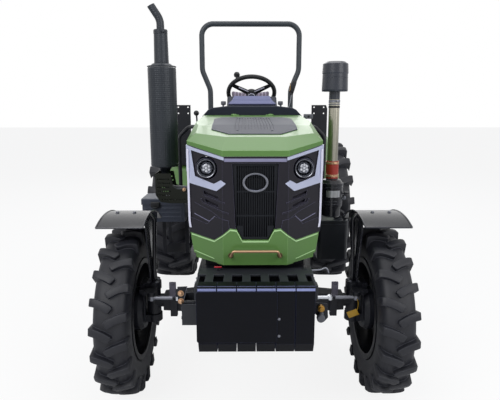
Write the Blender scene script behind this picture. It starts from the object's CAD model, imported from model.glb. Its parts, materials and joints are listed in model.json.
import json
from math import cos, exp, pi, radians, sin, tan

import bpy
from mathutils import Matrix, Vector


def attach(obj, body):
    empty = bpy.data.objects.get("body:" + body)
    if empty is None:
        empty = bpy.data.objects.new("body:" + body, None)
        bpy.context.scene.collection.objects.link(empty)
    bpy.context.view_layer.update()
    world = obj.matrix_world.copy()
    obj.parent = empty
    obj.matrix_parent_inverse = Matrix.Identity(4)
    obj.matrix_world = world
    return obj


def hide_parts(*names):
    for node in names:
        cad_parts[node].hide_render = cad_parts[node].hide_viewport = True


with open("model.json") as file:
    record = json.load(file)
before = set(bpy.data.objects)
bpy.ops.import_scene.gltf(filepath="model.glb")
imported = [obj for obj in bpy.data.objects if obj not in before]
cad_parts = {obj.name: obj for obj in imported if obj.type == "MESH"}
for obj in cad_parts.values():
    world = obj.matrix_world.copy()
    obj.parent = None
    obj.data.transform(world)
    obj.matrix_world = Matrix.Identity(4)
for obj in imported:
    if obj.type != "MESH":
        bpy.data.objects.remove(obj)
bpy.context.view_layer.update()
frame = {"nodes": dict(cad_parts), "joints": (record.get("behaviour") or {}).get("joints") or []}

JOINTS = {joint["name"]: joint for joint in frame["joints"]}
NODES = frame["nodes"]
FRONT_HUB = Vector(JOINTS["front_wheel_left_spin"]["pos_m"])
REAR_HUB = Vector(JOINTS["rear_wheel_left_spin"]["pos_m"])
FRONT_AXLE_Y = FRONT_HUB.y
HOOD_FRONT_Y = FRONT_AXLE_Y - 0.480
LAMP = Vector((0.241, HOOD_FRONT_Y + 0.052, 1.413))
WHEEL_TILT = radians(40)
WHEEL_AXIS = Vector((0, sin(WHEEL_TILT), cos(WHEEL_TILT)))
WHEEL_CENTRE = Vector((0, 0.0907, 1.838)) - WHEEL_AXIS * 0.016
INTAKE_X, INTAKE_Y = 0.545, FRONT_AXLE_Y + 0.480
MUFFLER_X, MUFFLER_Y = -0.575, FRONT_AXLE_Y + 0.350
KINGPIN_X = 0.610
TIE_ROD_Y = FRONT_AXLE_Y - 0.130
BEAM_FRONT_Y = FRONT_AXLE_Y - 0.0702
WEIGHT_FRONT_Y = HOOD_FRONT_Y - 0.252
WEIGHT_PITCH = 0.089
LUGS_IN_A_ROW = 20
STRIPE = 0.034
SWELL = 0.022
SEAT_BACK_LEAN = radians(12)

# The photograph's frame, and where its camera stood
PHOTO_WIDTH = 500
PHOTO_FOCAL = 470
SENSOR_MM = 36
CAMERA_AHEAD = 2.72
CAMERA_HEIGHT = 1.70
CAMERA_SIDE = -0.046
CAMERA_PITCH = 11.0
CAMERA_YAW = 0.5

AHEAD, BACK, LEFT, RIGHT = Vector((0, -1, 0)), Vector((0, 1, 0)), Vector((1, 0, 0)), Vector((-1, 0, 0))
UP, DOWN = Vector((0, 0, 1)), Vector((0, 0, -1))


# Drawing tools

def deselect():
    if bpy.context.object and bpy.context.object.mode != "OBJECT":
        bpy.ops.object.mode_set(mode="OBJECT")
    bpy.ops.object.select_all(action="DESELECT")


def take(piece):
    """Makes a piece the only selected and active one."""
    deselect()
    piece.select_set(True)
    bpy.context.view_layer.objects.active = piece


def settle(piece, name):
    """Names a piece and puts its place into its mesh."""
    take(piece)
    bpy.ops.object.transform_apply(location=True, rotation=True, scale=True)
    piece.name = name
    piece.data.name = name
    return piece


def apply_modifier(piece, kind, **settings):
    """Adds a modifier with its settings and applies it."""
    take(piece)
    modifier = piece.modifiers.new(kind.title(), kind)
    for key, value in settings.items():
        setattr(modifier, key, value)
    bpy.ops.object.modifier_apply(modifier=modifier.name)


def soften(piece, width, segments=2, angle=30):
    """Rounds a piece's edges and shades it smooth between them."""
    apply_modifier(piece, "BEVEL", width=width, segments=segments, angle_limit=radians(angle))
    shade(piece, angle)


def shade(piece, angle=30):
    """Shades a piece smooth but for its edges over an angle."""
    take(piece)
    bpy.ops.object.shade_smooth_by_angle(angle=radians(angle))


def outward(piece):
    """Merges a piece's double corners and turns its faces outward."""
    take(piece)
    bpy.ops.object.mode_set(mode="EDIT")
    bpy.ops.mesh.select_all(action="SELECT")
    bpy.ops.mesh.remove_doubles(threshold=0.00001)
    bpy.ops.mesh.normals_make_consistent(inside=False)
    bpy.ops.object.mode_set(mode="OBJECT")


def brick(name, low, high, round_edge=0.003, segments=2):
    """A block between two corners, with rounded edges."""
    deselect()
    low, high = Vector(low), Vector(high)
    bpy.ops.mesh.primitive_cube_add(size=1, location=(low + high) / 2)
    piece = bpy.context.object
    piece.scale = high - low
    settle(piece, name)
    soften(piece, round_edge, segments)
    return piece


def corner_start(place):
    """A mesh of one corner, open in edit mode, from which a line is drawn."""
    deselect()
    bpy.ops.mesh.primitive_plane_add(size=1)
    piece = bpy.context.object
    bpy.ops.object.mode_set(mode="EDIT")
    bpy.ops.mesh.select_all(action="SELECT")
    bpy.ops.mesh.merge(type="CENTER")
    bpy.ops.transform.translate(value=Vector(place))
    return piece


def draw_line(points):
    """Draws on from the open corner through the other points."""
    for a, b in zip(points, points[1:]):
        bpy.ops.mesh.extrude_region_move(TRANSFORM_OT_translate={"value": Vector(b) - Vector(a)})
    bpy.ops.mesh.select_all(action="SELECT")


def place_along(piece, start, direction):
    """Moves a piece drawn along +Z from the origin so that it starts at a point and runs in a direction."""
    turn = UP.rotation_difference(Vector(direction).normalized())
    piece.matrix_world = Matrix.Translation(Vector(start)) @ turn.to_matrix().to_4x4() @ piece.matrix_world
    return piece


def turned(name, profile, start=(0, 0, 0), direction=(0, 0, 1), steps=40, angle=35):
    """A turned piece: its (radius, height) profile is drawn from a corner and spun about its axis."""
    points = [Vector((r, 0, z)) for r, z in profile]
    piece = corner_start(points[0])
    draw_line(points)
    bpy.ops.mesh.spin(steps=steps, angle=2 * pi, center=(0, 0, 0), axis=(0, 0, 1))
    bpy.ops.object.mode_set(mode="OBJECT")
    outward(piece)
    place_along(piece, start, direction)
    settle(piece, name)
    shade(piece, angle)
    return piece


def panel(name, corners, thickness, round_edge=0.0015, segments=2):
    """A flat plate: its outline is drawn and filled, and then given its thickness."""
    corners = [Vector(corner) for corner in corners]
    piece = corner_start(corners[0])
    draw_line(corners)
    bpy.ops.mesh.edge_face_add()
    bpy.ops.mesh.extrude_region_move(TRANSFORM_OT_translate={"value": Vector(thickness)})
    bpy.ops.object.mode_set(mode="OBJECT")
    outward(piece)
    settle(piece, name)
    soften(piece, round_edge, segments)
    return piece


def ribbon(name, points, breadth, thickness, round_edge=0.0008):
    """A thin strip that follows a line: the line is drawn, widened, and given its thickness."""
    points = [Vector(point) for point in points]
    piece = corner_start(points[0])
    draw_line(points)
    bpy.ops.mesh.extrude_region_move(TRANSFORM_OT_translate={"value": Vector(breadth)})
    bpy.ops.object.mode_set(mode="OBJECT")
    outward(piece)
    apply_modifier(piece, "SOLIDIFY", thickness=thickness, offset=0.0, use_even_offset=True)
    settle(piece, name)
    soften(piece, round_edge, 1)
    return piece


def tube(name, points, radius, sides=12, resolution=6):
    """A pipe or hose along a smooth line through its bends, closed at both ends."""
    curve = bpy.data.curves.new(name, "CURVE")
    curve.dimensions = "3D"
    curve.bevel_depth = radius
    curve.bevel_resolution = sides // 4
    curve.use_fill_caps = True
    curve.resolution_u = resolution
    spline = curve.splines.new("NURBS")
    spline.points.add(len(points) - 1)
    for point, place in zip(spline.points, points):
        point.co = (*place, 1)
    spline.order_u = 3
    spline.use_endpoint_u = True
    piece = bpy.data.objects.new(name, curve)
    bpy.context.scene.collection.objects.link(piece)
    take(piece)
    bpy.ops.object.convert(target="MESH")
    piece = bpy.context.object
    outward(piece)
    shade(piece, 40)
    return settle(piece, name)


def joined(pieces, name):
    """Several meshes as one piece."""
    deselect()
    for piece in pieces:
        piece.select_set(True)
    bpy.context.view_layer.objects.active = pieces[0]
    if len(pieces) > 1:
        bpy.ops.object.join()
    return settle(bpy.context.object, name)


def copied(piece, matrix, name=None):
    """Another of the same piece, moved, turned or mirrored, with its own mesh."""
    twin = piece.copy()
    twin.data = piece.data.copy()
    bpy.context.scene.collection.objects.link(twin)
    twin.data.transform(matrix)
    if matrix.determinant() < 0:
        twin.data.flip_normals()
    twin.name = name or piece.name + "_copy"
    twin.data.name = twin.name
    return twin


def flipped(piece, name=None):
    """The same piece on the tractor's other side."""
    return copied(piece, Matrix.Scale(-1, 4, LEFT), name)


def repeated(piece, places, name):
    """A piece modelled once at the origin and set at each place."""
    copies = [copied(piece, Matrix.Translation(Vector(place))) for place in places]
    bpy.data.objects.remove(piece)
    return joined(copies, name)


def face_point(nodes, start, direction=BACK, proud=0.0):
    """The nearest place on the CAD nodes in a direction, and a little proud of it."""
    best = None
    for node in nodes.split():
        found, place, normal = NODES[node].ray_cast(Vector(start), Vector(direction))[:3]
        if found and (best is None or (place - Vector(start)).length < (best[0] - Vector(start)).length):
            best = (place, normal)
    return best[0] + best[1].normalized() * proud


def bolt_head(name, across=0.013, height=0.006, stud=0.0):
    """A hexagon head on its washer, drawn upward from the origin."""
    deselect()
    bpy.ops.mesh.primitive_cylinder_add(vertices=6, radius=across / 2 / cos(pi / 6), depth=height,
                                        location=(0, 0, height / 2 + 0.0015))
    head = bpy.context.object
    bpy.ops.object.transform_apply(location=True)
    soften(head, across * 0.05, 1, 50)
    parts = [head, turned(name + "_washer", [(0, 0), (across * 0.8, 0), (across * 0.85, 0.0008),
                                             (across * 0.8, 0.002), (0, 0.002)], steps=16)]
    if stud:
        parts.append(turned(name + "_stud", [(0, 0), (across * 0.28, 0), (across * 0.28, height + stud),
                                             (across * 0.22, height + stud + 0.001),
                                             (0, height + stud + 0.001)], steps=12))
    return joined(parts, name)


def bolts(name, places, direction, across=0.013, height=0.006, stud=0.0):
    """Like bolts, modelled once and set on a face that looks in one direction."""
    head = bolt_head(name, across, height, stud)
    place_along(head, (0, 0, 0), direction)
    settle(head, name)
    return repeated(head, places, name)


def ring_places(centre, radius, count, axis="x", start=0.5):
    """Places on a circle about an axis through its centre."""
    places = []
    for i in range(count):
        a = 2 * pi * (i + start) / count
        offset = (0, radius * cos(a), radius * sin(a)) if axis == "x" else (radius * cos(a), radius * sin(a),
                                                                            0)
        places.append(Vector(centre) + Vector(offset))
    return places


def fit(piece, material, body="chassis"):
    """Dresses a new piece and lets it ride on its body."""
    wear(material, piece)
    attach(piece, body)
    return piece


def wear(material, *pieces):
    """Gives pieces, or nodes by name, a material as their only one."""
    for piece in pieces:
        target = NODES[piece] if isinstance(piece, str) else piece
        if not target.material_slots:
            target.data.materials.append(material)
        for slot in target.material_slots:
            slot.material = material


# Materials

def linear(colour):
    """An sRGB hex colour as linear light."""
    channels = [int(colour[i:i + 2], 16) / 255 for i in (1, 3, 5)]
    return tuple(c / 12.92 if c <= 0.04045 else ((c + 0.055) / 1.055) ** 2.4 for c in channels) + (1.0,)


def add(tree, kind, settings=None, **links):
    """Adds a node with its settings, and links its inputs."""
    node = tree.nodes.new(kind)
    for key, value in (settings or {}).items():
        if hasattr(node, key):
            setattr(node, key, value)
        else:
            node.inputs[key].default_value = value
    for key, source in links.items():
        tree.links.new(source, node.inputs[key.replace("_", " ")])
    return node


def finish(name, colour, shade_colour, roughness, metallic=0.0, coat=0.0, mottle_mm=60, grain_mm=0.0,
           depth_mm=0.0, round_mm=1.2, uneven=0.06, sheen=0.0, specular=0.5, stretch=(1, 1, 1), worn=None,
           dots=False):
    """A finish of two close shades with uneven gloss, a grain, soft edges and, where worn, rubbed ones."""
    material = bpy.data.materials.new(name)
    material.use_nodes = True
    tree = material.node_tree
    shader = tree.nodes["Principled BSDF"]
    for socket, value in (("Metallic", metallic), ("Coat Weight", coat), ("Coat Roughness", 0.08),
                          ("Sheen Weight", sheen), ("Specular IOR Level", specular)):
        shader.inputs[socket].default_value = value
    place = add(tree, "ShaderNodeTexCoord")
    spot = add(tree, "ShaderNodeMapping", {"Scale": stretch}, Vector=place.outputs["Object"])
    mottle = add(tree, "ShaderNodeTexNoise", {"Scale": 1000 / mottle_mm, "Detail": 5.0, "Roughness": 0.6},
                 Vector=spot.outputs["Vector"])
    shades = add(tree, "ShaderNodeMix", {"data_type": "RGBA"}, Factor=mottle.outputs["Fac"])
    shades.inputs[6].default_value = linear(colour)
    shades.inputs[7].default_value = linear(shade_colour)
    result = shades.outputs[2]
    gloss = add(tree, "ShaderNodeMapRange", {"To Min": max(0.02, roughness - uneven),
                                             "To Max": roughness + uneven}, Value=mottle.outputs["Fac"])
    tree.links.new(gloss.outputs["Result"], shader.inputs["Roughness"])
    normal = None
    if round_mm:
        edge = add(tree, "ShaderNodeBevel", {"samples": 4, "Radius": round_mm / 1000})
        normal = edge.outputs["Normal"]
        if worn:
            flat = add(tree, "ShaderNodeNewGeometry")
            bend = add(tree, "ShaderNodeVectorMath", {"operation": "DOT_PRODUCT"})
            tree.links.new(normal, bend.inputs[0])
            tree.links.new(flat.outputs["Normal"], bend.inputs[1])
            rubbed = add(tree, "ShaderNodeMapRange", {"From Min": 0.995, "From Max": 0.90},
                         Value=bend.outputs["Value"])
            edges = add(tree, "ShaderNodeMix", {"data_type": "RGBA"}, Factor=rubbed.outputs["Result"])
            tree.links.new(result, edges.inputs[6])
            edges.inputs[7].default_value = linear(worn)
            result = edges.outputs[2]
    tree.links.new(result, shader.inputs["Base Color"])
    if grain_mm:
        if dots:
            grain = add(tree, "ShaderNodeTexVoronoi", {"feature": "SMOOTH_F1", "Scale": 1000 / grain_mm,
                                                       "Randomness": 0.15}, Vector=place.outputs["Object"])
            height = grain.outputs["Distance"]
        else:
            grain = add(tree, "ShaderNodeTexNoise", {"Scale": 1000 / grain_mm, "Detail": 2.0},
                        Vector=spot.outputs["Vector"])
            height = grain.outputs["Fac"]
        bump = add(tree, "ShaderNodeBump", {"Strength": 1.0, "Distance": depth_mm / 1000}, Height=height)
        if normal:
            tree.links.new(normal, bump.inputs["Normal"])
        normal = bump.outputs["Normal"]
    if normal:
        tree.links.new(normal, shader.inputs["Normal"])
    return material


# Baked gloss enamel on pressed steel: leaf green under a wet, mirror-like top
GREEN = finish("green baked enamel", "#557b3e", "#5a8243", 0.34, coat=0.12, specular=0.35, mottle_mm=180,
               grain_mm=2.0, depth_mm=0.02, round_mm=3, worn="#93bf7c")
# The same enamel where the pressing's edge catches the light: pale green
GREEN_EDGE = finish("pale green enamel edge", "#a5d288", "#b4dca0", 0.30, coat=0.5, mottle_mm=60, round_mm=1)
# Moulded ABS with a fine spark-eroded grain: charcoal with a violet cast
CHARCOAL = finish("charcoal moulded abs", "#1c1b22", "#222027", 0.42, mottle_mm=90, grain_mm=1.2,
                  depth_mm=0.04, round_mm=2.5, specular=0.22, worn="#5a5870")
# Deep-black moulded mesh of the middle panel
MESH = finish("black moulded abs mesh", "#15171c", "#191c22", 0.50, mottle_mm=50, grain_mm=2.5, depth_mm=0.3,
              round_mm=0, specular=0.2)
# Raised mouldings that catch the light: lavender grey
RIDGE = finish("lavender grey moulded abs", "#7b7a96", "#8a89a6", 0.38, mottle_mm=60, round_mm=1,
               specular=0.4)
# Silver lacquer on the lamp trims, cool and pale
TRIM = finish("silver lacquered abs", "#b0b6cf", "#bcc1d8", 0.34, mottle_mm=60, round_mm=2, coat=0.3)
TRIM_EDGE = finish("white lacquered abs", "#e4e3f2", "#d4d4e8", 0.34, mottle_mm=60, round_mm=1, coat=0.3)
# Grey ABS of the deck's louvres, with long faint streaks
VENT = finish("grey moulded abs louvre", "#3e4149", "#51535d", 0.55, mottle_mm=30, grain_mm=2.0, depth_mm=0.1,
              specular=0.15, stretch=(1, 0.12, 1))
# Thick textured polypropylene of the cowl: blue black, dull
COWL = finish("black moulded polypropylene", "#1a1f2c", "#1f2432", 0.46, mottle_mm=80, grain_mm=1.6,
              depth_mm=0.05, round_mm=3, specular=0.22, worn="#34363f")
# Soft dash skin over foam: lavender grey, with a leather grain
DASH = finish("lavender grey dash skin", "#666a8f", "#72769a", 0.55, mottle_mm=40, grain_mm=2.4,
              depth_mm=0.2, specular=0.3)
# The pre-cleaner's bowl: greyer, smooth, with clear vertical highlights
BOWL_BLACK = finish("slate black polycarbonate", "#262a33", "#2e323c", 0.28, mottle_mm=60, round_mm=3,
                    specular=0.45, worn="#555b68")
# Pressed plate under thick enamel, dusty on top
PLATE = finish("dusty black enamel on plate", "#25272c", "#2f3136", 0.46, mottle_mm=45, grain_mm=2.6,
               depth_mm=0.06, round_mm=2, specular=0.3, worn="#5b5e68")
# Polished black polypropylene of the fenders and the cleaner: dark with clear highlights
GLOSS_BLACK = finish("gloss black polypropylene", "#16171d", "#1c1d24", 0.24, coat=0.25, mottle_mm=120,
                     grain_mm=6.0, depth_mm=0.06, round_mm=3, specular=0.4, worn="#41434f")
# Slate grey battery case
SLATE = finish("slate moulded polypropylene", "#363b47", "#424754", 0.42, mottle_mm=90, grain_mm=1.6,
               depth_mm=0.05, round_mm=3, specular=0.3, worn="#5a5f6c")
# Black powder coat with a light orange peel, rubbed pale on its edges
POWDER = finish("black powder coat", "#17181d", "#1d1f25", 0.42, mottle_mm=120, grain_mm=2.6, depth_mm=0.05,
                round_mm=2, specular=0.25, worn="#4a4d58")
# The roll bar's coat is bluer and greyer
ROLL_BAR = finish("slate powder coat", "#30363b", "#363c42", 0.38, mottle_mm=150, grain_mm=2.6, depth_mm=0.04,
                  specular=0.35)
# Sprayed enamel over rough castings
CASTING = finish("navy black enamel on cast iron", "#121319", "#1a1c24", 0.46, mottle_mm=50, grain_mm=4.0,
                 depth_mm=0.3, round_mm=3, specular=0.3, worn="#33353f")
# Enamel over smooth iron castings; their pressed top edges shine blue
WEIGHTS = finish("gloss enamel on cast iron", "#07080d", "#0b0c13", 0.40, mottle_mm=110, grain_mm=5.0,
                 depth_mm=0.15, round_mm=2.5, specular=0.12, worn="#2e3350")
WEIGHT_EDGE = finish("blue enamel edge", "#8d96c4", "#7b84b4", 0.40, mottle_mm=40, grain_mm=4.0, depth_mm=0.1)
# Engine enamel, oily and brown-grey
ENGINE = finish("grey engine enamel", "#1d1b1f", "#2b272b", 0.55, mottle_mm=45, grain_mm=4.0, depth_mm=0.25,
                specular=0.3, worn="#4b464c")
# Aluminium castings of the pump and covers, dulled
ALLOY = finish("sand-cast aluminium", "#62606d", "#55535f", 0.55, metallic=0.2, mottle_mm=30, grain_mm=3.0,
               depth_mm=0.25)
# Heat-proof black over a dimpled sheet
HEAT_BLACK = finish("heat-proof black on dimpled steel", "#24282f", "#2e3339", 0.36, metallic=0.3,
                    mottle_mm=90, grain_mm=12.0, depth_mm=2.6, round_mm=0, dots=True, specular=0.45)
GUARD = finish("heat-proof black sheet", "#12150e", "#191d15", 0.48, mottle_mm=40, grain_mm=3, depth_mm=0.1,
               specular=0.25)
# Drawn stainless tube: bright and warm, with lengthwise lines
STAINLESS = finish("drawn stainless steel", "#dedac8", "#66635a", 0.22, metallic=1.0, mottle_mm=10,
                   uneven=0.05, round_mm=0, stretch=(1, 1, 0.03))
# Zinc plate, pale and a little blue
ZINC = finish("bright zinc plate", "#83858e", "#70727a", 0.36, metallic=0.7, mottle_mm=8, round_mm=0)
# Yellow chromate over zinc: brassy and pink
YELLOW_ZINC = finish("yellow zinc plate", "#c9a98a", "#b98f6c", 0.30, metallic=0.7, mottle_mm=9, round_mm=0)
BRASS = finish("turned brass", "#a8803c", "#8c6a30", 0.32, metallic=0.8, mottle_mm=6, round_mm=0.5)
DARK_BRASS = finish("blackened brass", "#3a2a1c", "#5a4024", 0.40, metallic=0.6, mottle_mm=6, round_mm=0.5)
CHROME = finish("hard chrome", "#cdd0d6", "#bfc2c8", 0.12, metallic=1.0, mottle_mm=40, round_mm=0)
# Vulcanised rubber, moulded: nearly black, dull, faintly blue, with a bloom on worn edges
RUBBER = finish("vulcanised rubber", "#16171d", "#202128", 0.50, mottle_mm=70, grain_mm=3.0, depth_mm=0.15,
                round_mm=4, specular=0.4, worn="#34363f")
RIM = finish("black wheel enamel", "#0d0e12", "#121318", 0.38, mottle_mm=120, grain_mm=2.5, depth_mm=0.04,
             round_mm=3, specular=0.25, worn="#22242b")
TANK = finish("black blow-moulded polyethylene", "#14171c", "#1a1e24", 0.42, mottle_mm=90, grain_mm=2.6,
              depth_mm=0.12, round_mm=6, specular=0.3, worn="#3a4048")
SILICONE = finish("red silicone hose", "#97261a", "#a93324", 0.45, mottle_mm=20, grain_mm=2.0, depth_mm=0.15,
                  round_mm=0)
GRIP = finish("black soft-touch rubber", "#131417", "#191a1e", 0.50, mottle_mm=50, grain_mm=1.6,
              depth_mm=0.06, round_mm=0, specular=0.35)
KNOB = finish("grey moulded nylon", "#53555c", "#5e6067", 0.45, mottle_mm=20, round_mm=1)
FOIL = finish("bare aluminium foil label", "#c4c6c9", "#8f9194", 0.30, metallic=0.7, mottle_mm=6, round_mm=0,
              stretch=(1, 1, 0.1))
TAG = finish("mustard moulded nylon tag", "#a8800f", "#b98f14", 0.45, mottle_mm=30, round_mm=1)
RED = finish("red prismatic acrylic", "#a3172a", "#c02036", 0.15, mottle_mm=6, grain_mm=3, depth_mm=0.3,
             coat=1.0)
WEBBING = finish("pale polyester webbing", "#b9bcc4", "#a6a9b2", 0.70, mottle_mm=4, grain_mm=2, depth_mm=0.3,
                 sheen=0.3)
# Lamp: a bright bowl, and emitters under clear domes
BOWL = finish("vacuum-plated reflector", "#9a9ca2", "#6d6f76", 0.18, metallic=1.0, mottle_mm=12, round_mm=0)
EMITTER = finish("clear dome over white emitter", "#d9dbe0", "#b5b8c0", 0.12, mottle_mm=4, coat=1.0,
                 round_mm=0)


def seat_cloth():
    """Woven mauve-grey cloth: stripes 34 mm apart, a paler thread between them, and a visible weave."""
    material = finish("woven mauve grey seat cloth", "#6a626f", "#746b78", 0.82, mottle_mm=50, round_mm=0,
                      sheen=0.25, specular=0.2)
    tree = material.node_tree
    shader = tree.nodes["Principled BSDF"]
    place = add(tree, "ShaderNodeTexCoord")
    stripes = add(tree, "ShaderNodeTexWave", {"bands_direction": "X", "wave_profile": "SIN",
                                              "Scale": 2 * pi / 20 / STRIPE, "Distortion": 0.0},
                  Vector=place.outputs["Object"])
    pale = add(tree, "ShaderNodeMapRange", {"From Min": 0.75, "From Max": 0.98}, Value=stripes.outputs["Fac"])
    ground = shader.inputs["Base Color"].links[0].from_socket
    mixed = add(tree, "ShaderNodeMix", {"data_type": "RGBA"}, Factor=pale.outputs["Result"])
    tree.links.new(ground, mixed.inputs[6])
    mixed.inputs[7].default_value = linear("#a79db0")
    tree.links.new(mixed.outputs[2], shader.inputs["Base Color"])
    weave = add(tree, "ShaderNodeTexVoronoi", {"Scale": 1000 / 3.0, "Randomness": 0.1},
                Vector=place.outputs["Object"])
    bump = add(tree, "ShaderNodeBump", {"Strength": 1.0, "Distance": 0.0004},
               Height=weave.outputs["Distance"])
    tree.links.new(bump.outputs["Normal"], shader.inputs["Normal"])
    return material


SEAT_CLOTH = seat_cloth()
# Embossed vinyl of the seat's shell: matt, with a skin grain
VINYL = finish("black seat vinyl", "#1c1b21", "#232229", 0.50, mottle_mm=60, grain_mm=2.6, depth_mm=0.25,
               round_mm=0, specular=0.3)

DRESS = {
    GREEN: "hood_shell hood_skirt rear_fenders",
    CHARCOAL: "hood_grille",
    MESH: "grille_mesh",
    TRIM: "hood_trim",
    VENT: "hood_vent",
    COWL: "dash_cowl headlamps",
    BOWL_BLACK: "precleaner",
    PLATE: "weight_carrier side_tray",
    GLOSS_BLACK: "air_cleaner front_fender_left front_fender_right",
    SLATE: "battery_box battery_lid",
    POWDER: "front_frame platform fender_posts grab_rails drawbar top_link lower_links "
            "lift_arms lift_rods seat_base steering_cylinder radiator",
    ROLL_BAR: "roll_bar",
    CASTING: "front_axle knuckle_left knuckle_right transmission rear_axle",
    WEIGHTS: "front_weights weight_cover_plate",
    ENGINE: "engine",
    HEAT_BLACK: "exhaust",
    GUARD: "muffler_guard",
    STAINLESS: "intake_pipe",
    ZINC: "tie_rod_left tie_rod_right pto_shaft",
    YELLOW_ZINC: "hood_handle",
    CHROME: "steering_rod",
    RUBBER: "front_tyre_left front_tyre_right rear_tyre_left rear_tyre_right",
    RIM: "front_rim_left front_rim_right rear_rim_left rear_rim_right",
    TANK: "fuel_tank",
    SILICONE: "intake_hose",
    VINYL: "seat",
    GRIP: "steering_wheel levers",
}


def dress_frame():
    """Gives every CAD node its finish."""
    for material, names in DRESS.items():
        wear(material, *names.split())


# Tyres

def one_lug(radius, half, height, width, stations):
    """One lug at the top of the tyre, drawn from its nose at the middle of the tread to past the shoulder.

    Each station gives its share of the half width, its heading from straight across, how much its top drops,
    its breadth and its depth. The lug is wound on: what is drawn already turns about the wheel, and the next
    stretch is drawn at the top."""
    across0, heading0, drop0, breadth0, depth0 = stations[0]
    top = radius - 0.0022
    deselect()
    bpy.ops.mesh.primitive_plane_add(size=1)
    lug = bpy.context.object
    bpy.ops.object.mode_set(mode="EDIT")
    bpy.ops.mesh.select_all(action="SELECT")
    bpy.ops.transform.rotate(value=radians(-90), orient_axis="Y", center_override=(0, 0, 0))
    bpy.ops.transform.resize(value=(1, breadth0 * width, depth0), center_override=(0, 0, 0))
    bpy.ops.object.mode_set(mode="OBJECT")
    for v in lug.data.vertices:
        v.select = v.co.z < 0
    bpy.ops.object.mode_set(mode="EDIT")
    bpy.ops.transform.resize(value=(1, 1.35, 1), center_override=(0, 0, 0))
    bpy.ops.mesh.select_all(action="SELECT")
    bpy.ops.transform.rotate(value=-radians(heading0), orient_axis="Z", center_override=(0, 0, 0))
    bpy.ops.transform.translate(value=(across0 * half, 0, top - drop0 - depth0 / 2))
    across, heading, drop, breadth, depth = stations[0]
    for nxt in stations[1:]:
        run = (nxt[0] - across) * half
        slew = radians(nxt[1] + heading) / 2
        along = run * tan(slew)
        bpy.ops.mesh.extrude_region_move(TRANSFORM_OT_translate={"value": (run, 0, 0)})
        centre = (nxt[0] * half, 0, top - drop)
        bpy.ops.transform.resize(value=(nxt[3] / breadth, nxt[3] / breadth, 1), center_override=centre)
        bpy.ops.transform.resize(value=(1, 1, nxt[4] / depth), center_override=centre)
        bpy.ops.transform.rotate(value=-radians(nxt[1] - heading), orient_axis="Z", center_override=centre)
        bpy.ops.transform.translate(value=(0, along, drop - nxt[2] - along ** 2 / (2 * radius)))
        bpy.ops.object.mode_set(mode="OBJECT")
        ahead = [v.select for v in lug.data.vertices]
        bpy.ops.object.mode_set(mode="EDIT")
        bpy.ops.mesh.select_all(action="SELECT")
        bpy.ops.transform.rotate(value=-along / radius, orient_axis="X", center_override=(0, 0, 0))
        bpy.ops.object.mode_set(mode="OBJECT")
        bpy.ops.object.mode_set(mode="EDIT")
        bpy.ops.mesh.select_all(action="DESELECT")
        bpy.ops.object.mode_set(mode="OBJECT")
        for v, keep in zip(lug.data.vertices, ahead):
            v.select = keep
        bpy.ops.object.mode_set(mode="EDIT")
        across, heading, drop, breadth, depth = nxt
    bpy.ops.object.mode_set(mode="OBJECT")
    outward(lug)
    soften(lug, height * 0.16, 2, 40)
    return lug


CARCASS = [(0.72, 0.0), (0.79, 0.03), (0.81, 0.08), (0.84, 0.22), (0.885, 0.38), (0.90, 0.52), (0.885, 0.66),
           (0.845, 0.78), (0.77, 0.88), (0.62, 0.955), (0.38, 0.99)]
FRONT_LUG = [(-0.13, 38, 0.002, 0.80, 0.036), (-0.04, 34, 0.0, 1.0, 0.038), (0.22, 27, 0.0, 1.0, 0.040),
             (0.48, 20, 0.001, 1.0, 0.044), (0.72, 13, 0.004, 1.02, 0.054), (0.87, 8, 0.009, 1.04, 0.070),
             (0.955, 5, 0.015, 1.0, 0.084)]
REAR_LUG = [(-0.11, 40, 0.002, 0.80, 0.046), (-0.03, 36, 0.0, 1.0, 0.048), (0.22, 30, 0.0, 1.0, 0.050),
            (0.48, 23, 0.001, 1.0, 0.056), (0.72, 15, 0.005, 1.02, 0.070), (0.87, 9, 0.012, 1.04, 0.092),
            (0.960, 5, 0.020, 1.0, 0.114)]


def lugged_tyre(side, end, radius, width, rim_radius, lug_height, lug_width, stations):
    """A tyre with a rounded carcass and two staggered rows of curved lugs, in place of its CAD node."""
    half = width / 2
    crown = radius - lug_height
    bead = rim_radius + 0.001
    right = [(bead + share * (crown - bead), across * half) for across, share in CARCASS]
    section = right + [(crown, 0.0)] + [(r, -x) for r, x in reversed(right)]
    name = end + "_tyre_fine_" + side
    pieces = [turned(name, section + section[:1], (0, 0, 0), (1, 0, 0), steps=96, angle=40)]
    lug = one_lug(radius, half, lug_height, lug_width, stations)
    other = flipped(lug)
    for i in range(LUGS_IN_A_ROW):
        pieces.append(copied(lug, Matrix.Rotation(2 * pi * i / LUGS_IN_A_ROW, 4, "X")))
        pieces.append(copied(other, Matrix.Rotation(2 * pi * (i + 0.5) / LUGS_IN_A_ROW, 4, "X")))
    bpy.data.objects.remove(lug)
    bpy.data.objects.remove(other)
    tyre = joined(pieces, name)
    hub = FRONT_HUB if end == "front" else REAR_HUB
    tyre.data.transform(Matrix.Translation((hub.x if side == "left" else -hub.x, hub.y, hub.z)))
    shade(tyre, 35)
    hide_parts(end + "_tyre_" + side)
    return fit(tyre, RUBBER, end + "_wheel_" + side)


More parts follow.
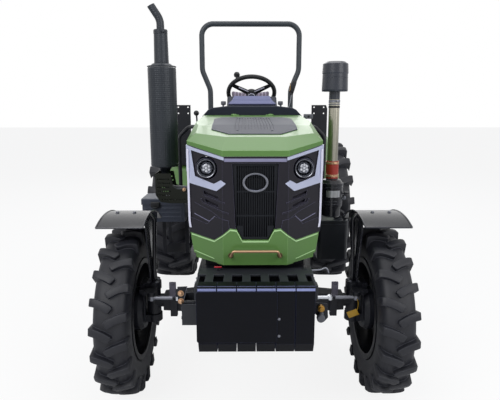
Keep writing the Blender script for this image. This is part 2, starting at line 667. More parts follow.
def make_wheels():
    """The tyres, and each rim's hub cap, its small bolts and the stud ends round it."""
    for side, sign in (("left", 1), ("right", -1)):
        lugged_tyre(side, "front", FRONT_HUB.z, 0.211, 0.305, 0.028, 0.031, FRONT_LUG)
        lugged_tyre(side, "rear", REAR_HUB.z, 0.378, 0.356, 0.036, 0.046, REAR_LUG)
        out = Vector((sign, 0, 0))
        for end, hub, face, hole, stud_ring in (("front", FRONT_HUB, 0.754, 0.0475, 0.0779),
                                                ("rear", REAR_HUB, 0.672, 0.0575, 0.0943)):
            centre = Vector((sign * (face - 0.001), hub.y, hub.z))
            cap = turned(end + "_hub_cap_" + side, [(0, 0), (hole + 0.012, 0), (hole + 0.014, 0.003),
                                                    (hole + 0.012, 0.009), (hole, 0.012),
                                                    (hole - 0.008, 0.040), (hole - 0.016, 0.049),
                                                    (0, 0.052)], centre, out)
            small = bolts(end + "_cap_bolts_" + side, ring_places(centre + out * 0.008, hole + 0.006, 6),
                          out, 0.008, 0.004)
            fit(joined([cap, small], end + "_hub_cap_" + side), RIM, end + "_wheel_" + side)
            nuts = bolts(end + "_stud_ends_" + side,
                         ring_places(centre + out * 0.017, stud_ring, 8), out, 0.018, 0.006, 0.012)
            fit(nuts, ZINC, end + "_wheel_" + side)


# Hood

def front_face(x, z, proud=0.0):
    """A place on the hood's front."""
    return face_point("hood_grille hood_skirt hood_shell", (x, -3.0, z), BACK, proud)


def make_lamps():
    """Each lamp gets a bright ring, an array of clear domes on a plated bowl, and a rolled rim arc."""
    for side, sign in (("left", 1), ("right", -1)):
        centre = Vector((sign * LAMP.x, LAMP.y, LAMP.z))
        bowl = turned("lamp_bowl_" + side, [(0.0425, 0.0085), (0.0445, 0.0095), (0.0435, 0.0060),
                                            (0.0335, -0.0225), (0.0320, -0.0235), (0.0415, 0.0065),
                                            (0.0425, 0.0085)], centre, AHEAD, 48)
        fit(bowl, BOWL, "hood")
        arc = turned("lamp_rim_" + side, [(0.0485, -0.002), (0.0500, 0.0008), (0.0488, 0.0028),
                                          (0.0470, 0.0012), (0.0485, -0.002)], centre, AHEAD, 48)
        fit(arc, CHARCOAL, "hood")
        dome = turned("emitter", [(0, 0), (0.0068, 0), (0.0068, 0.0015), (0.0055, 0.0045), (0.003, 0.0062),
                                  (0, 0.0068)], steps=16)
        place_along(dome, (0, 0, 0), AHEAD)
        settle(dome, "emitter")
        places = [centre + Vector((0, 0.007, 0))]
        for i in range(6):
            a = pi * i / 3 + pi / 6
            places.append(centre + Vector((0.0158 * cos(a), 0.0105, 0.0158 * sin(a))))
        cluster = repeated(dome, places, "lamp_emitters_" + side)
        fit(cluster, EMITTER, "hood")
        plate = turned("lamp_board_" + side, [(0, -0.0065), (0.014, -0.0085), (0.0240, -0.0125),
                                              (0.0300, -0.0195), (0.0290, -0.0215), (0.0220, -0.0150),
                                              (0, -0.0120), (0, -0.0065)], centre, AHEAD, 32)
        fit(plate, BOWL, "hood")


def make_emblem_ring():
    """The bare silver ring in the middle of the grille."""
    ring = turned("emblem_ring", [(0.0520, 0), (0.0525, 0.0065), (0.0550, 0.0085), (0.0600, 0.0085),
                                  (0.0628, 0.0060), (0.0630, 0), (0.0520, 0)], (0, 0, 0), AHEAD, 64)
    ring.data.transform(Matrix.Diagonal((1.0, 1.0, 0.762, 1.0)))
    ring.data.transform(Matrix.Translation((0, HOOD_FRONT_Y + 0.0055, 1.349)))
    fit(ring, ZINC, "hood")


def hood_line(name, points, material, breadth=0.004, thickness=0.0026, proud=0.0006):
    """A thin raised moulding along places on the hood's front."""
    places = []
    for (x0, z0), (x1, z1) in zip(points, points[1:]):
        for i in range(6):
            t = i / 6
            places.append(front_face(x0 + (x1 - x0) * t, z0 + (z1 - z0) * t, proud))
    places.append(front_face(*points[-1], proud))
    return fit(ribbon(name, places, (0, 0, -breadth), thickness), material, "hood")


def make_hood_lines():
    """The pale edges and crease lines on the grille and the skirt."""
    skirt = [(0.064, 1.058), (0.0925, 1.112), (0.124, 1.117), (0.204, 1.050), (0.328, 1.062)]
    for side, sign in (("left", 1), ("right", -1)):
        hood_line("skirt_edge_" + side, [(sign * x, z) for x, z in skirt], GREEN_EDGE, 0.0075,
                  0.003, 0.001)
        hood_line("grille_crease_" + side, [(sign * 0.312, 1.1735), (sign * 0.231, 1.1465),
                                            (sign * 0.199, 1.1800)], RIDGE, 0.0035, 0.002, 0.0004)
        hood_line("grille_fold_" + side, [(sign * 0.310, 1.232), (sign * 0.215, 1.199),
                                          (sign * 0.160, 1.165)], CHARCOAL, 0.003, 0.002, 0.0002)
        hood_line("skirt_step_" + side, [(sign * 0.315, 0.9745), (sign * 0.206, 0.9575)], GREEN_EDGE,
                  0.004, 0.002, 0.0004)
        places = [Vector((sign * x, face_point("hood_grille hood_shell hood_trim",
                                               (sign * (x - 0.006), -3, z)).y, z))
                  for x, z in ((0.3465, 1.500), (0.3465, 1.400), (0.3460, 1.300), (0.3455, 1.200),
                               (0.3440, 1.130), (0.3390, 1.095))]
        edge = ribbon("grille_outer_edge_" + side, places, (-sign * 0.011, -0.0093, 0), 0.004, 0.001)
        fit(edge, TRIM_EDGE, "hood")
    hood_line("skirt_edge_middle", [(-0.064, 1.058), (0.064, 1.058)], GREEN_EDGE, 0.0075, 0.003,
              0.001)
    hood_line("grille_brow", [(-0.150, 1.466), (0.150, 1.466)], RIDGE, 0.016, 0.003, 0.0005)


def make_handle_feet():
    """The stepped feet that hold the pull handle."""
    foot = turned("handle_foot", [(0, 0), (0.0130, 0), (0.0130, 0.003), (0.0110, 0.004), (0.0098, 0.016),
                                  (0.0078, 0.019), (0, 0.019)], steps=24)
    place_along(foot, (0, 0, 0), AHEAD)
    settle(foot, "handle_foot")
    feet = repeated(foot, [front_face(sign * 0.122, 0.984, -0.0005) for sign in (-1, 1)], "hood_handle_feet")
    fit(feet, DARK_BRASS, "hood")


def make_hood():
    """All that the hood carries, with the humps on its deck and the catch below its nose."""
    make_lamps()
    make_emblem_ring()
    make_hood_lines()
    make_handle_feet()
    hump = turned("deck_hump", [(0, -0.004), (0.022, -0.004), (0.020, 0.003), (0.012, 0.006), (0, 0.007)],
                  steps=28)
    humps = repeated(hump, [face_point("hood_shell", (sign * 0.13, HOOD_FRONT_Y + 1.14, 3), DOWN)
                            for sign in (-1, 1)], "deck_humps")
    fit(humps, GREEN, "hood")
    catch = brick("hood_catch", (-0.045, HOOD_FRONT_Y + 0.018, 0.9265),
                  (0.045, HOOD_FRONT_Y + 0.060, 0.9375), 0.003)
    fit(catch, POWDER, "hood")


# Intake and exhaust

def hose_clamp(name, centre, radius, breadth=0.012, angle=0.0):
    """A worm-drive clamp: a band with turned edges and its screw housing."""
    band = turned(name, [(radius, 0), (radius + 0.0015, 0.001), (radius + 0.0012, breadth / 2),
                         (radius + 0.0015, breadth - 0.001), (radius, breadth),
                         (radius - 0.001, breadth / 2), (radius, 0)], Vector(centre) - UP * breadth / 2, UP)
    box = brick(name + "_screw", (-0.011, -radius - 0.009, -0.006), (0.011, -radius - 0.0005, 0.006), 0.002)
    screw = turned(name + "_head", [(0, 0), (0.0045, 0), (0.0045, 0.004), (0.0035, 0.006), (0, 0.006)],
                   (0.010, -radius - 0.0045, 0), LEFT, 16)
    body = joined([box, screw], name + "_screw")
    body.data.transform(Matrix.Translation(centre) @ Matrix.Rotation(angle, 4, "Z"))
    return joined([band, body], name)


def make_intake():
    """Clamps, collars, the blank foil, bands and fittings of the air cleaner and its stack."""
    x, y = INTAKE_X, INTAKE_Y
    fit(hose_clamp("hose_clamp_top", (x, y, 1.337), 0.0435, 0.016, 0.2), YELLOW_ZINC)
    fit(hose_clamp("hose_clamp_low", (x, y, 1.251), 0.0435, 0.018, -0.3), YELLOW_ZINC)
    fit(hose_clamp("stack_clamp", (x, y, 1.748), 0.0365, 0.018, 0.4), ZINC)
    seam = turned("stack_sleeve", [(0.0362, 0), (0.0378, 0.001), (0.0378, 0.013), (0.0362, 0.014),
                                   (0.0362, 0)], (x, y, 1.704), UP)
    fit(seam, POWDER)
    collar = turned("stack_collar", [(0.0362, 0), (0.0385, 0.002), (0.0385, 0.006), (0.0362, 0.008),
                                     (0.0362, 0)], (x, y, 1.725), UP)
    fit(collar, ZINC)
    label = turned("cleaner_label", [(0.0764, 0), (0.0772, 0), (0.0772, 0.046), (0.0764, 0.046), (0.0764, 0)],
                   (x, y, 1.108), UP, 64)
    take(label)
    bpy.ops.object.mode_set(mode="EDIT")
    for cut_x, off in ((x - 0.046, RIGHT), (x + 0.046, LEFT), (x, BACK)):
        bpy.ops.mesh.select_all(action="SELECT")
        bpy.ops.mesh.bisect(plane_co=(cut_x, y, 1.1), plane_no=off, clear_outer=True, use_fill=True)
    bpy.ops.object.mode_set(mode="OBJECT")
    fit(label, FOIL)
    for i, (z, r) in enumerate(((1.024, 0.0664), (1.184, 0.0764))):
        section = [(r, 0), (r + 0.0026, 0.001), (r + 0.0026, 0.017), (r, 0.018), (r, 0)]
        band = turned("cleaner_band_%d" % i, section, (x, y, z), UP, 56)
        fit(band, GLOSS_BLACK)
    gauge = turned("restriction_indicator", [(0, 0), (0.007, 0), (0.007, 0.012), (0.013, 0.016),
                                             (0.013, 0.040), (0.010, 0.045), (0, 0.045)],
                   face_point("air_cleaner", (x + 0.2, y - 0.02, 1.130), RIGHT, -0.002), LEFT, 24)
    fit(gauge, GLOSS_BLACK)
    fitting = turned("cleaner_fitting", [(0, 0), (0.006, 0), (0.006, 0.010), (0.010, 0.011), (0.010, 0.021),
                                         (0.006, 0.023), (0.006, 0.030), (0, 0.030)],
                     face_point("air_cleaner", (x + 0.2, y - 0.03, 1.092), RIGHT, -0.002), LEFT, 6)
    fit(fitting, ZINC)
    outline = ((0.070, 1.110), (0.118, 1.110), (0.128, 1.040), (0.128, 0.940), (0.100, 0.915), (0.080, 0.960),
               (0.060, 1.000))
    mount = panel("cleaner_side_bracket", [(x + across, y + 0.030, z) for across, z in outline],
                  (0, 0.005, 0))
    heads = bolts("side_bracket_bolts", [(x + 0.100, y + 0.030, 1.090), (x + 0.108, y + 0.030, 0.960)],
                  AHEAD, 0.013)
    fit(mount, POWDER)
    fit(heads, ZINC)
    ribs = [turned("rib", [(0.0835, 0), (0.0852, 0.0015), (0.0835, 0.003), (0.0835, 0)], (x, y, z), UP, 48)
            for z in (1.832, 1.846, 1.900)]
    fit(joined(ribs, "precleaner_ribs"), BOWL_BLACK)


def make_exhaust():
    """The muffler's rolled beads, the tail pipe's clamp and the guard's bolt."""
    for i, z in enumerate((1.345, 1.955)):
        section = [(0.0875, 0), (0.0905, 0.002), (0.0905, 0.006), (0.0875, 0.008), (0.0875, 0)]
        bead = turned("muffler_bead_%d" % i, section, (MUFFLER_X, MUFFLER_Y, z), UP, 56)
        fit(bead, HEAT_BLACK)
    clamp = hose_clamp("tail_clamp", (MUFFLER_X - 0.0005, MUFFLER_Y, 2.166), 0.0425, 0.020, 0.5)
    fit(clamp, HEAT_BLACK)
    screw = bolts("guard_bolt", [(-0.446, -0.861, 1.187)], AHEAD, 0.014)
    fit(screw, YELLOW_ZINC)


# Front end

def make_front_end():
    """Weights' edges and bolts, couplings, the reflector, the hooked rod and the tray's ear."""
    y = WEIGHT_FRONT_Y
    edges = []
    for i in range(6):
        left = (i - 3) * WEIGHT_PITCH + 0.0025
        right = left + WEIGHT_PITCH - 0.005
        for kind, (y0, z0), (y1, z1), thickness, round_edge in (
                ("edge", (y - 0.0002, 0.8965), (y - 0.0002, 0.9090), (0, 0.0008, 0), 0.0003),
                ("chamfer", (y - 0.0004, 0.9085), (y + 0.0085, 0.9174), (0, -0.0003, 0.0003), 0.0002)):
            corners = [(left, y0, z0), (right, y0, z0), (right, y1, z1), (left, y1, z1)]
            edges.append(panel("weight_%s_%d" % (kind, i), corners, thickness, round_edge, 1))
    fit(joined(edges, "weight_top_edges"), WEIGHT_EDGE)
    small = bolts("weight_bolts", [(0.1035, y, 0.7635), (0.1040, y, 0.6805)], AHEAD, 0.008, 0.003)
    fit(small, ZINC)

    bracket = panel("coupling_bracket", [(0.2838, -1.70, 0.770), (0.352, -1.70, 0.762),
                                         (0.358, -1.70, 0.690), (0.340, -1.70, 0.668),
                                         (0.2838, -1.70, 0.716)], (0, 0.006, 0), 0.0015)
    fit(bracket, POWDER)
    brass = turned("brass_coupling", [(0, 0), (0.012, 0), (0.012, 0.006), (0.017, 0.007), (0.017, 0.024),
                                      (0.012, 0.026), (0.012, 0.034), (0.008, 0.036), (0, 0.036)],
                   (0.319, -1.699, 0.745), AHEAD, 24)
    fit(brass, BRASS)
    cap = joined([turned("cap", [(0, 0), (0.014, 0), (0.014, 0.012), (0.020, 0.014), (0.020, 0.032),
                                 (0.017, 0.036), (0, 0.037)], (0.318, -1.699, 0.697), AHEAD, 32),
                  turned("knob", [(0, 0), (0.010, 0), (0.012, 0.002), (0.010, 0.012), (0, 0.013)],
                         (0.318, -1.717, 0.716), (0.7, -0.2, 0.7), 20)], "capped_coupling")
    fit(cap, KNOB)

    reflector = panel("red_reflector", [(-0.205, -1.628, 0.9295), (-0.168, -1.628, 0.9295),
                                        (-0.168, -1.628, 0.9225), (-0.205, -1.628, 0.9225)], (0, 0.006, 0),
                      0.001)
    stem = brick("reflector_stem", (-0.192, -1.624, 0.8935), (-0.180, -1.616, 0.9240), 0.001)
    fit(reflector, RED)
    fit(stem, POWDER)
    hook = tube("hooked_rod", [(0.225, -1.600, 0.899), (0.270, -1.600, 0.899), (0.330, -1.600, 0.900),
                               (0.352, -1.602, 0.914), (0.366, -1.604, 0.906), (0.370, -1.604, 0.886)],
                0.0045)
    fit(hook, ZINC)
    foot = brick("rod_clip", (0.232, -1.609, 0.8935), (0.262, -1.591, 0.9075), 0.002)
    fit(foot, POWDER)

    ear = panel("tray_ear", [(-0.3770, -1.7180, 0.7720), (-0.3770, -1.7180, 0.8580),
                             (-0.3310, -1.7180, 0.8600), (-0.3540, -1.7180, 0.7720)], (0, 0.006, 0), 0.0012)
    foot = brick("tray_ear_foot", (-0.3770, -1.7180, 0.7700), (-0.2830, -1.6900, 0.7800), 0.002)
    fit(joined([ear, foot], "tray_ear"), POWDER)
    rim_line = panel("tray_ear_edge", [(-0.3540, -1.7190, 0.7720), (-0.3310, -1.7190, 0.8600),
                                       (-0.3290, -1.7190, 0.8600), (-0.3520, -1.7190, 0.7720)],
                     (0, 0.008, 0), 0.0004, 1)
    fit(rim_line, ZINC)
    brass_heads = bolts("tray_bolts", [(-0.3610, -1.7180, 0.8255), (-0.3610, -1.7180, 0.7860)], AHEAD, 0.018,
                        0.008, 0.003)
    fit(brass_heads, YELLOW_ZINC)
    for name, x, low, out in (("carrier_bolts", 0.284, 0.790, LEFT),
                              ("carrier_bolts_right", -0.284, 0.815, RIGHT)):
        places = [(x, -1.62, 0.865), (x, -1.62, low), (x, -1.68, 0.865)]
        fit(bolts(name, places, out, 0.017, 0.008, 0.004), ZINC)


def make_axle_details():
    """Blocks on the beam, hoses to the cylinder, ball boots, kingpin bolts and the blank tag."""
    for side, sign in (("left", 1), ("right", -1)):
        x, front = sign * 0.482, BEAM_FRONT_Y - 0.013
        block = brick("axle_block_" + side, (x - 0.020, front, 0.597), (x + 0.020, BEAM_FRONT_Y, 0.692),
                      0.004)
        stop = bolts("axle_stop_" + side, [(x, front, 0.684)], AHEAD, 0.015, 0.006, 0.004)
        fit(joined([block, stop], "axle_block_" + side), ALLOY)
        boot = turned("rod_boot_" + side, [(0, 0), (0.0225, 0), (0.0235, 0.004), (0.0190, 0.008),
                                           (0.0215, 0.013), (0.0160, 0.018), (0.0170, 0.022), (0, 0.022)],
                      (sign * 0.600, TIE_ROD_Y, 0.6285), UP, 28)
        fit(boot, GRIP, "tie_rod_" + side)
        pin = bolts("kingpin_bolts_" + side, ring_places((sign * KINGPIN_X, FRONT_AXLE_Y, 0.6715), 0.034, 4,
                                                         "z"), UP, 0.013, 0.006)
        fit(pin, ZINC, "knuckle_" + side)
        inner = Vector((sign * 0.215, TIE_ROD_Y, 0.6485))
        hose = tube("steering_hose_" + side, [inner, inner + Vector((0, -0.004, 0.050)),
                                              inner + Vector((-sign * 0.03, 0.04, 0.085)),
                                              inner + Vector((-sign * 0.06, 0.12, 0.080)),
                                              Vector((sign * 0.10, -1.09, 0.715)),
                                              Vector((sign * 0.10, -1.00, 0.735))], 0.0085, 12, 8)
        nut = turned("hose_nut_" + side, [(0, 0), (0.012, 0), (0.013, 0.002), (0.013, 0.016), (0.010, 0.020),
                                          (0, 0.020)], inner - UP * 0.001, UP, 6)
        fit(hose, GRIP)
        fit(nut, ZINC)
    tag = panel("blank_tag", [(0.530, -1.335, 0.550), (0.585, -1.345, 0.576), (0.602, -1.345, 0.541),
                              (0.547, -1.335, 0.514)], (0, 0.003, 0), 0.001)
    tie = tube("tag_tie", [(0.590, -1.342, 0.566), (0.598, -1.330, 0.590), (0.602, -1.310, 0.606),
                           (0.600, -1.2900, 0.612)], 0.0018, 8)
    fit(tag, TAG, "knuckle_left")
    fit(tie, TAG, "knuckle_left")


def fender_point(x, angle):
    """A place on a front fender's edge, by its angle back from the top of the wheel."""
    a = radians(angle)
    return (x, FRONT_AXLE_Y + 0.5985 * sin(a), FRONT_HUB.z + 0.5985 * cos(a))


def make_fender_details():
    """Bolt heads and the rolled bead along each front fender's edges."""
    for side, sign in (("left", 1), ("right", -1)):
        body = "knuckle_" + side
        heads = bolts("fender_bolts_" + side, [(sign * x, FRONT_AXLE_Y, 1.0952) for x in (0.705, 0.805)], UP,
                      0.016, 0.007)
        fit(heads, ZINC, body)
        for edge, x in (("inner", 0.6125), ("outer", 0.8715)):
            points = [fender_point(sign * x, -20.6 + i * 55.2 / 14) for i in range(15)]
            bead = tube("fender_bead_%s_%s" % (edge, side), points, 0.0045, 8, 4)
            fit(bead, GLOSS_BLACK, body)
        lip = [fender_point(sign * x, -20.8) for x in (0.6125, 0.70, 0.78, 0.8715)]
        fit(tube("fender_front_bead_" + side, lip, 0.0045, 8, 2), GLOSS_BLACK, body)


# Driver's place

def make_dash():
    """The two-part pad, its knobs, the relay box and the gauges."""
    corners = [(-0.176, -0.3125, 1.7290), (0.176, -0.3125, 1.7290), (0.150, -0.2720, 1.7555),
               (0.134, -0.2290, 1.7880), (-0.134, -0.2290, 1.7880), (-0.150, -0.2720, 1.7555)]
    low = panel("dash_pad_low", [corners[i] for i in (0, 1, 2, 5)], (0, -0.004, 0.007), 0.002)
    high = panel("dash_pad_high", [corners[i] for i in (5, 2, 3, 4)], (0, -0.004, 0.007), 0.002)
    fit(joined([low, high], "dash_pad"), DASH)
    cap = turned("dash_knob", [(0, 0), (0.0185, 0), (0.0195, 0.003), (0.0190, 0.020), (0.0165, 0.026),
                               (0, 0.0275)], steps=28)
    knobs = repeated(cap, [(sign * 0.2150, -0.2393, 1.7290) for sign in (-1, 1)], "dash_knobs")
    fit(knobs, KNOB)
    box = brick("relay_box", (0.372, -0.440, 1.628), (0.436, -0.400, 1.662), 0.004)
    eye = turned("relay_eye", [(0, 0), (0.008, 0), (0.008, 0.002), (0.005, 0.003), (0, 0.003)],
                 (0.404, -0.4395, 1.645), AHEAD, 20)
    arm = brick("relay_bracket", (0.340, -0.424, 1.600), (0.392, -0.416, 1.640), 0.002)
    fit(box, KNOB)
    fit(eye, GRIP)
    fit(arm, POWDER)
    slope = Vector((0, 0.696, 0.718))
    for i, (x, r) in enumerate(((-0.062, 0.042), (0.062, 0.042), (0.0, 0.018))):
        centre = Vector((x, -0.1368, 1.7361)) if i < 2 else Vector((0, -0.118, 1.7175))
        start = face_point("dash_cowl", centre + slope * 0.3, -slope, -0.001)
        bezel = turned("gauge_bezel_%d" % i, [(r - 0.004, 0.0), (r, 0.0), (r, 0.005), (r - 0.002, 0.007),
                                              (r - 0.005, 0.004), (r - 0.005, 0.001), (r - 0.004, 0.0)],
                       start, slope, 40)
        face = turned("gauge_face_%d" % i, [(0, 0.0005), (r - 0.0045, 0.0005), (r - 0.0045, 0.002),
                                            (0, 0.002)], start, slope, 32)
        fit(bezel, CHROME)
        fit(face, MESH)


def plane_point(angle, radius, height=0.0):
    """A place on the steering wheel, by its angle in the wheel's plane."""
    down = Vector((0, cos(WHEEL_TILT), -sin(WHEEL_TILT)))
    a = radians(angle)
    return WHEEL_CENTRE + LEFT * radius * cos(a) + down * radius * sin(a) + WHEEL_AXIS * height


def make_steering_wheel():
    """The wheel with its padded rim, three pressed spokes with bright lines, cap and spinner knob."""
    deselect()
    bpy.ops.mesh.primitive_torus_add(major_segments=96, minor_segments=18, major_radius=0.1875,
                                     minor_radius=0.0172)
    rim = bpy.context.object
    place_along(rim, WHEEL_CENTRE, WHEEL_AXIS)
    settle(rim, "wheel_rim")
    take(rim)
    bpy.ops.object.mode_set(mode="EDIT")
    bpy.ops.mesh.select_all(action="SELECT")
    bpy.ops.mesh.bisect(plane_co=WHEEL_CENTRE, plane_no=WHEEL_AXIS)
    bpy.ops.object.mode_set(mode="OBJECT")
    shade(rim, 50)
    rim_parts = [rim]
    lines = []
    for angle in (-33, 213, 90):
        centre = [plane_point(angle, r, h) for r, h in ((0.030, -0.006), (0.186, -0.001))]
        side = (plane_point(angle + 90, 0.1) - WHEEL_CENTRE).normalized()
        outline = [centre[0] - side * 0.024, centre[0] + side * 0.024, centre[1] + side * 0.016,
                   centre[1] - side * 0.016]
        rim_parts.append(panel("spoke", outline, WHEEL_AXIS * -0.009, 0.003))
        if angle != 90:
            a, b = plane_point(angle, 0.034, 0.0015), plane_point(angle, 0.128, 0.0015)
            lines.append(panel("spoke_line", [a - side * 0.0045, a + side * 0.0045, b + side * 0.0035,
                                              b - side * 0.0035], WHEEL_AXIS * 0.0035, 0.001))
            inward = side if angle < 0 else -side
            c, d = plane_point(angle, 0.020, -0.0142) - inward * 0.014, plane_point(angle, 0.128,
                                                                                    -0.0108) - inward * 0.010
            lines.append(panel("spoke_line_low", [c - side * 0.006, c + side * 0.006, d + side * 0.005,
                                                  d - side * 0.005], WHEEL_AXIS * -0.003, 0.001))
    rim_parts.append(turned("hub", [(0, -0.030), (0.030, -0.030), (0.042, -0.018), (0.044, 0.004),
                                    (0.036, 0.010), (0, 0.010)], WHEEL_CENTRE, WHEEL_AXIS))
    stalk = plane_point(232, 0.190, 0.010)
    rim_parts.append(turned("spinner", [(0, 0), (0.011, 0), (0.009, 0.006), (0.008, 0.022), (0.014, 0.026),
                                        (0.0225, 0.034), (0.0245, 0.044), (0.0215, 0.056), (0.012, 0.063),
                                        (0, 0.065)], stalk, WHEEL_AXIS, 32))
    wheel = joined(rim_parts, "steering_wheel_fine")
    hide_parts("steering_wheel")
    fit(wheel, GRIP, "steering_wheel")
    cap = turned("wheel_cap", [(0, 0.009), (0.034, 0.009), (0.033, 0.013), (0.024, 0.018), (0, 0.020)],
                 WHEEL_CENTRE, WHEEL_AXIS)
    under = turned("wheel_cap_low", [(0, -0.036), (0.020, -0.036), (0.028, -0.031), (0.031, -0.029),
                                     (0, -0.029)], WHEEL_CENTRE, WHEEL_AXIS)
    fit(joined(lines + [cap, under], "wheel_bright_lines"), TRIM_EDGE, "steering_wheel")


def pad(name, size, turn, place, channels, thin_axis):
    """A cushion: a rounded block is remeshed, blown up as cloth, and then sewn into channels.

    No point of it moves more than SWELL."""
    deselect()
    bpy.ops.mesh.primitive_cube_add(size=1)
    block = bpy.context.object
    block.scale = size
    settle(block, name + "_block")
    soften(block, min(size) * 0.36, 5)
    cushion = copied(block, Matrix.Identity(4), name)
    bpy.data.objects.remove(block)
    apply_modifier(cushion, "REMESH", mode="VOXEL", voxel_size=0.006)
    start = [v.co.copy() for v in cushion.data.vertices]
    take(cushion)
    cloth = cushion.modifiers.new("Cloth", "CLOTH")
    cloth.settings.use_pressure = True
    cloth.settings.uniform_pressure_force = 4.0
    cloth.settings.effector_weights.gravity = 0.0
    for step in range(1, 21):
        bpy.context.scene.frame_set(step)
    bpy.ops.object.modifier_apply(modifier=cloth.name)
    for v, was in zip(cushion.data.vertices, start):
        moved = v.co - was
        if moved.length > SWELL:
            v.co = was + moved.normalized() * SWELL
    bpy.context.scene.frame_set(1)
    apply_modifier(cushion, "SUBSURF", levels=1, render_levels=1)
    for v in cushion.data.vertices:
        if v.co[thin_axis] > 0 and abs(v.co.x) < channels[-1] + 0.01:
            for x in channels:
                v.co[thin_axis] -= 0.0045 * exp(-((abs(v.co.x) - x) / 0.0045) ** 2)
    cushion.data.transform(Matrix.Translation(place) @ Matrix.Rotation(turn, 4, "X"))
    shade(cushion, 60)
    return cushion


def make_seat():
    """The cushion and the striped back, on the black shell and link that carry them."""
    channels = [STRIPE * (i + 0.5) for i in range(5)]
    cushion = pad("seat_cushion", (0.430, 0.355, 0.072), 0.0, (0, 0.6600, 1.352), channels, 2)
    back = pad("seat_back", (0.395, 0.425, 0.050), pi / 2 - SEAT_BACK_LEAN, (0, 0.9480, 1.670), channels, 2)
    corners = ((-0.165, 1.445), (0.165, 1.445), (0.196, 1.690), (0.172, 1.862), (-0.172, 1.862),
               (-0.196, 1.690))
    outline = [(x, 0.9720 + (z - 1.668) * tan(SEAT_BACK_LEAN), z) for x, z in corners]
    shell = panel("seat_shell", outline, (0, 0.011, -0.002), 0.004)
    link = brick("seat_link", (-0.060, 0.835, 1.335), (0.060, 0.915, 1.465), 0.008)
    pan = brick("seat_pan", (-0.205, 0.480, 1.2905), (0.205, 0.840, 1.306), 0.004)
    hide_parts("seat")
    fit(cushion, SEAT_CLOTH)
    fit(back, SEAT_CLOTH)
    fit(joined([shell, link, pan], "seat_shell"), VINYL)


def make_belt():
    """The belt's reel and its strap on the roll bar's left upright."""
    reel = brick("belt_reel", (-0.024, -0.026, -0.056), (0.024, 0.022, 0.056), 0.010, 4)
    reel.data.transform(Matrix.Translation((0.405, 0.782, 1.905)) @ Matrix.Rotation(radians(16), 4, "Y"))
    cap = turned("reel_mouth", [(0, 0), (0.014, 0), (0.016, 0.006), (0.014, 0.022), (0, 0.024)],
                 (0.398, 0.776, 1.853), (-0.2, -0.1, -1), 24)
    fit(joined([reel, cap], "belt_reel"), GRIP)
    strap = ribbon("belt_strap", [(0.394, 0.770, 1.860), (0.386, 0.762, 1.800), (0.376, 0.760, 1.750),
                                  (0.362, 0.765, 1.700), (0.330, 0.780, 1.600), (0.290, 0.800, 1.500),
                                  (0.250, 0.805, 1.420), (0.215, 0.800, 1.3300)], (0.010, 0.044, 0.004),
                   0.0022, 0.0005)
    fit(strap, WEBBING)
    edge = tube("reel_edge", [(0.3780, 0.757, 1.940), (0.3800, 0.755, 1.900), (0.3770, 0.756, 1.862)],
                0.0022, 8)
    fit(edge, BRASS)


def make_battery():
    """The lid's latch and the case's ribs."""
    latch = brick("battery_latch", (-0.7330, -0.5440, 1.000), (-0.6680, -0.5240, 1.040), 0.005, 3)
    pull = brick("battery_latch_pull", (-0.7180, -0.5480, 0.992), (-0.6830, -0.5380, 1.004), 0.003)
    fit(joined([latch, pull], "battery_latch"), GRIP, "battery_lid")
    for i, x in enumerate((-0.780, -0.515)):
        fit(brick("battery_rib_%d" % i, (x - 0.006, -0.5225, 0.905), (x + 0.006, -0.5185, 0.998), 0.0015),
            SLATE)


def make_tank():
    """The cap's grip ribs, the two straps over the tank and its moulded seams."""
    grip = []
    for place in ring_places((0.640, -0.4443, 0), 0.0400, 18, "z"):
        reach = Vector((0.0025, 0.0025, 0.0115))
        middle = Vector((place.x, place.y, 0.9625))
        grip.append(brick("cap_rib", middle - reach, middle + reach, 0.001, 1))
    fit(joined(grip, "tank_cap_ribs"), GRIP)
    for i, y in enumerate((-0.395, -0.090)):
        route = ((0.4795, 0.640), (0.4795, 0.888), (0.4830, 0.8985), (0.4915, 0.9015), (0.6905, 0.9015),
                 (0.6990, 0.8985), (0.7030, 0.888), (0.7030, 0.640))
        strap = ribbon("tank_strap_%d" % i, [(x, y, z) for x, z in route], (0, 0.030, 0), 0.0025, 0.0006)
        fit(strap, POWDER)
    for i, (y, z) in enumerate(((-0.5355, 0.8965), (-0.5360, 0.8735))):
        route = [(0.500, y, z), (0.560, y - 0.0005, z), (0.640, y - 0.0005, z), (0.690, y, z)]
        fit(tube("tank_seam_%d" % i, route, 0.0022, 8, 4), TANK)


def make_engine_bay():
    """The hoses, pipes and filters that show between the hood and the axle."""
    hose = tube("radiator_hose_low", [(0.120, -1.180, 0.985), (0.165, -1.190, 0.985), (0.200, -1.240, 0.990),
                                      (0.205, -1.290, 1.000), (0.200, -1.3050, 1.000)], 0.021, 16, 8)
    top = tube("radiator_hose_top", [(-0.090, -1.150, 1.260), (-0.100, -1.190, 1.300),
                                     (-0.110, -1.250, 1.330), (-0.110, -1.3050, 1.335)], 0.020, 16, 8)
    fit(joined([hose, top], "radiator_hoses"), GRIP)
    lines = []
    for i in range(4):
        y = -0.98 + i * 0.11
        lines.append(tube("injector_line", [(-0.145, -0.80, 0.870), (-0.190, -0.82 + i * 0.012, 0.930),
                                            (-0.205, y, 1.010), (-0.185, y, 1.100), (-0.150, y, 1.160),
                                            (-0.125, y, 1.175)], 0.0035, 8, 6))
    fit(joined(lines, "injector_lines"), ZINC)
    filters = joined([turned("filter", [(0, 0), (0.030, 0), (0.040, 0.006), (0.042, 0.014), (0.042, 0.110),
                                        (0.036, 0.124), (0.030, 0.126), (0, 0.126)],
                             (-0.139, -0.560 - 0.12 * i, 0.790), RIGHT, 36) for i in range(2)], "oil_filters")
    fit(filters, GLOSS_BLACK)


# Stage

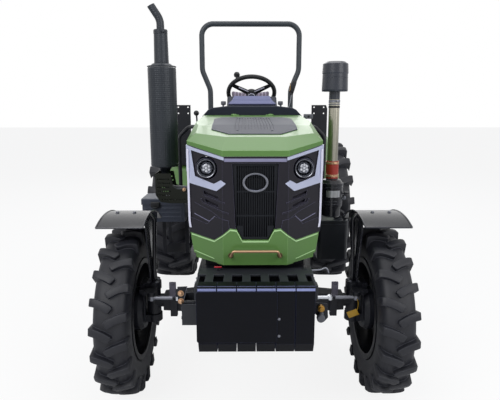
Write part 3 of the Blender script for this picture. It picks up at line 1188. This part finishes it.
def make_stage():
    """A pale floor and a white room with soft, plain light."""
    deselect()
    bpy.ops.mesh.primitive_plane_add(size=80, location=(0, 0, 0))
    floor = bpy.context.object
    floor.name = "floor"
    material = bpy.data.materials.new("pale studio floor")
    material.use_nodes = True
    tree = material.node_tree
    shader = tree.nodes["Principled BSDF"]
    shader.inputs["Base Color"].default_value = linear("#eeeeee")
    shader.inputs["Roughness"].default_value = 0.95
    shader.inputs["Specular IOR Level"].default_value = 0.0
    pale = add(tree, "ShaderNodeEmission", {"Color": (1, 1, 1, 1), "Strength": 1.0})
    path = add(tree, "ShaderNodeLightPath")
    share = add(tree, "ShaderNodeMath", {"operation": "MULTIPLY"})
    tree.links.new(path.outputs["Is Camera Ray"], share.inputs[0])
    share.inputs[1].default_value = 0.86
    mixed = add(tree, "ShaderNodeMixShader", {}, Fac=share.outputs[0])
    tree.links.new(shader.outputs[0], mixed.inputs[1])
    tree.links.new(pale.outputs[0], mixed.inputs[2])
    tree.links.new(mixed.outputs[0], tree.nodes["Material Output"].inputs["Surface"])
    wear(material, floor)

    world = bpy.context.scene.world or bpy.data.worlds.new("studio")
    bpy.context.scene.world = world
    world.use_nodes = True
    tree = world.node_tree
    tree.nodes.clear()
    path = add(tree, "ShaderNodeLightPath")
    soft = add(tree, "ShaderNodeBackground", {"Color": linear("#eef1f8"), "Strength": 0.50})
    white = add(tree, "ShaderNodeBackground", {"Color": (1, 1, 1, 1), "Strength": 1.0})
    seen = add(tree, "ShaderNodeMath", {"operation": "MAXIMUM"})
    tree.links.new(path.outputs["Is Camera Ray"], seen.inputs[0])
    tree.links.new(path.outputs["Is Transmission Ray"], seen.inputs[1])
    also = add(tree, "ShaderNodeMath", {"operation": "MAXIMUM"})
    tree.links.new(seen.outputs[0], also.inputs[0])
    tree.links.new(path.outputs["Is Glossy Ray"], also.inputs[1])
    mixed = add(tree, "ShaderNodeMixShader", {}, Fac=also.outputs[0])
    tree.links.new(soft.outputs[0], mixed.inputs[1])
    tree.links.new(white.outputs[0], mixed.inputs[2])
    out = add(tree, "ShaderNodeOutputWorld")
    tree.links.new(mixed.outputs[0], out.inputs["Surface"])

    for name, place, size, power in (("key", (-3.5, -6.0, 5.5), 4.0, 210),
                                     ("fill", (4.5, -5.0, 4.0), 4.0, 125),
                                     ("top", (0.0, 0.5, 7.0), 5.0, 150), ("back", (0.0, 6.5, 4.5), 4.0, 100)):
        lamp = bpy.data.lights.new(name, "AREA")
        lamp.energy = power
        lamp.size = size
        holder = bpy.data.objects.new(name, lamp)
        bpy.context.scene.collection.objects.link(holder)
        holder.location = place
        aim = Vector((0, 0, 1.0)) - Vector(place)
        holder.rotation_euler = aim.to_track_quat("-Z", "Y").to_euler()


def make_camera():
    """The camera stands where the photograph's did."""
    data = bpy.data.cameras.new("camera")
    data.sensor_width = SENSOR_MM
    data.lens = PHOTO_FOCAL / PHOTO_WIDTH * SENSOR_MM
    camera = bpy.data.objects.new("camera", data)
    bpy.context.scene.collection.objects.link(camera)
    camera.location = (CAMERA_SIDE, FRONT_AXLE_Y - CAMERA_AHEAD, CAMERA_HEIGHT)
    camera.rotation_euler = (radians(90 - CAMERA_PITCH), 0, -radians(CAMERA_YAW))
    bpy.context.scene.camera = camera
    bpy.context.scene.view_settings.view_transform = "Standard"


make_camera()
make_stage()
dress_frame()
make_hood()
make_intake()
make_exhaust()
make_front_end()
make_axle_details()
make_fender_details()
make_dash()
make_steering_wheel()
make_belt()
make_battery()
make_tank()
make_engine_bay()
make_seat()
make_wheels()
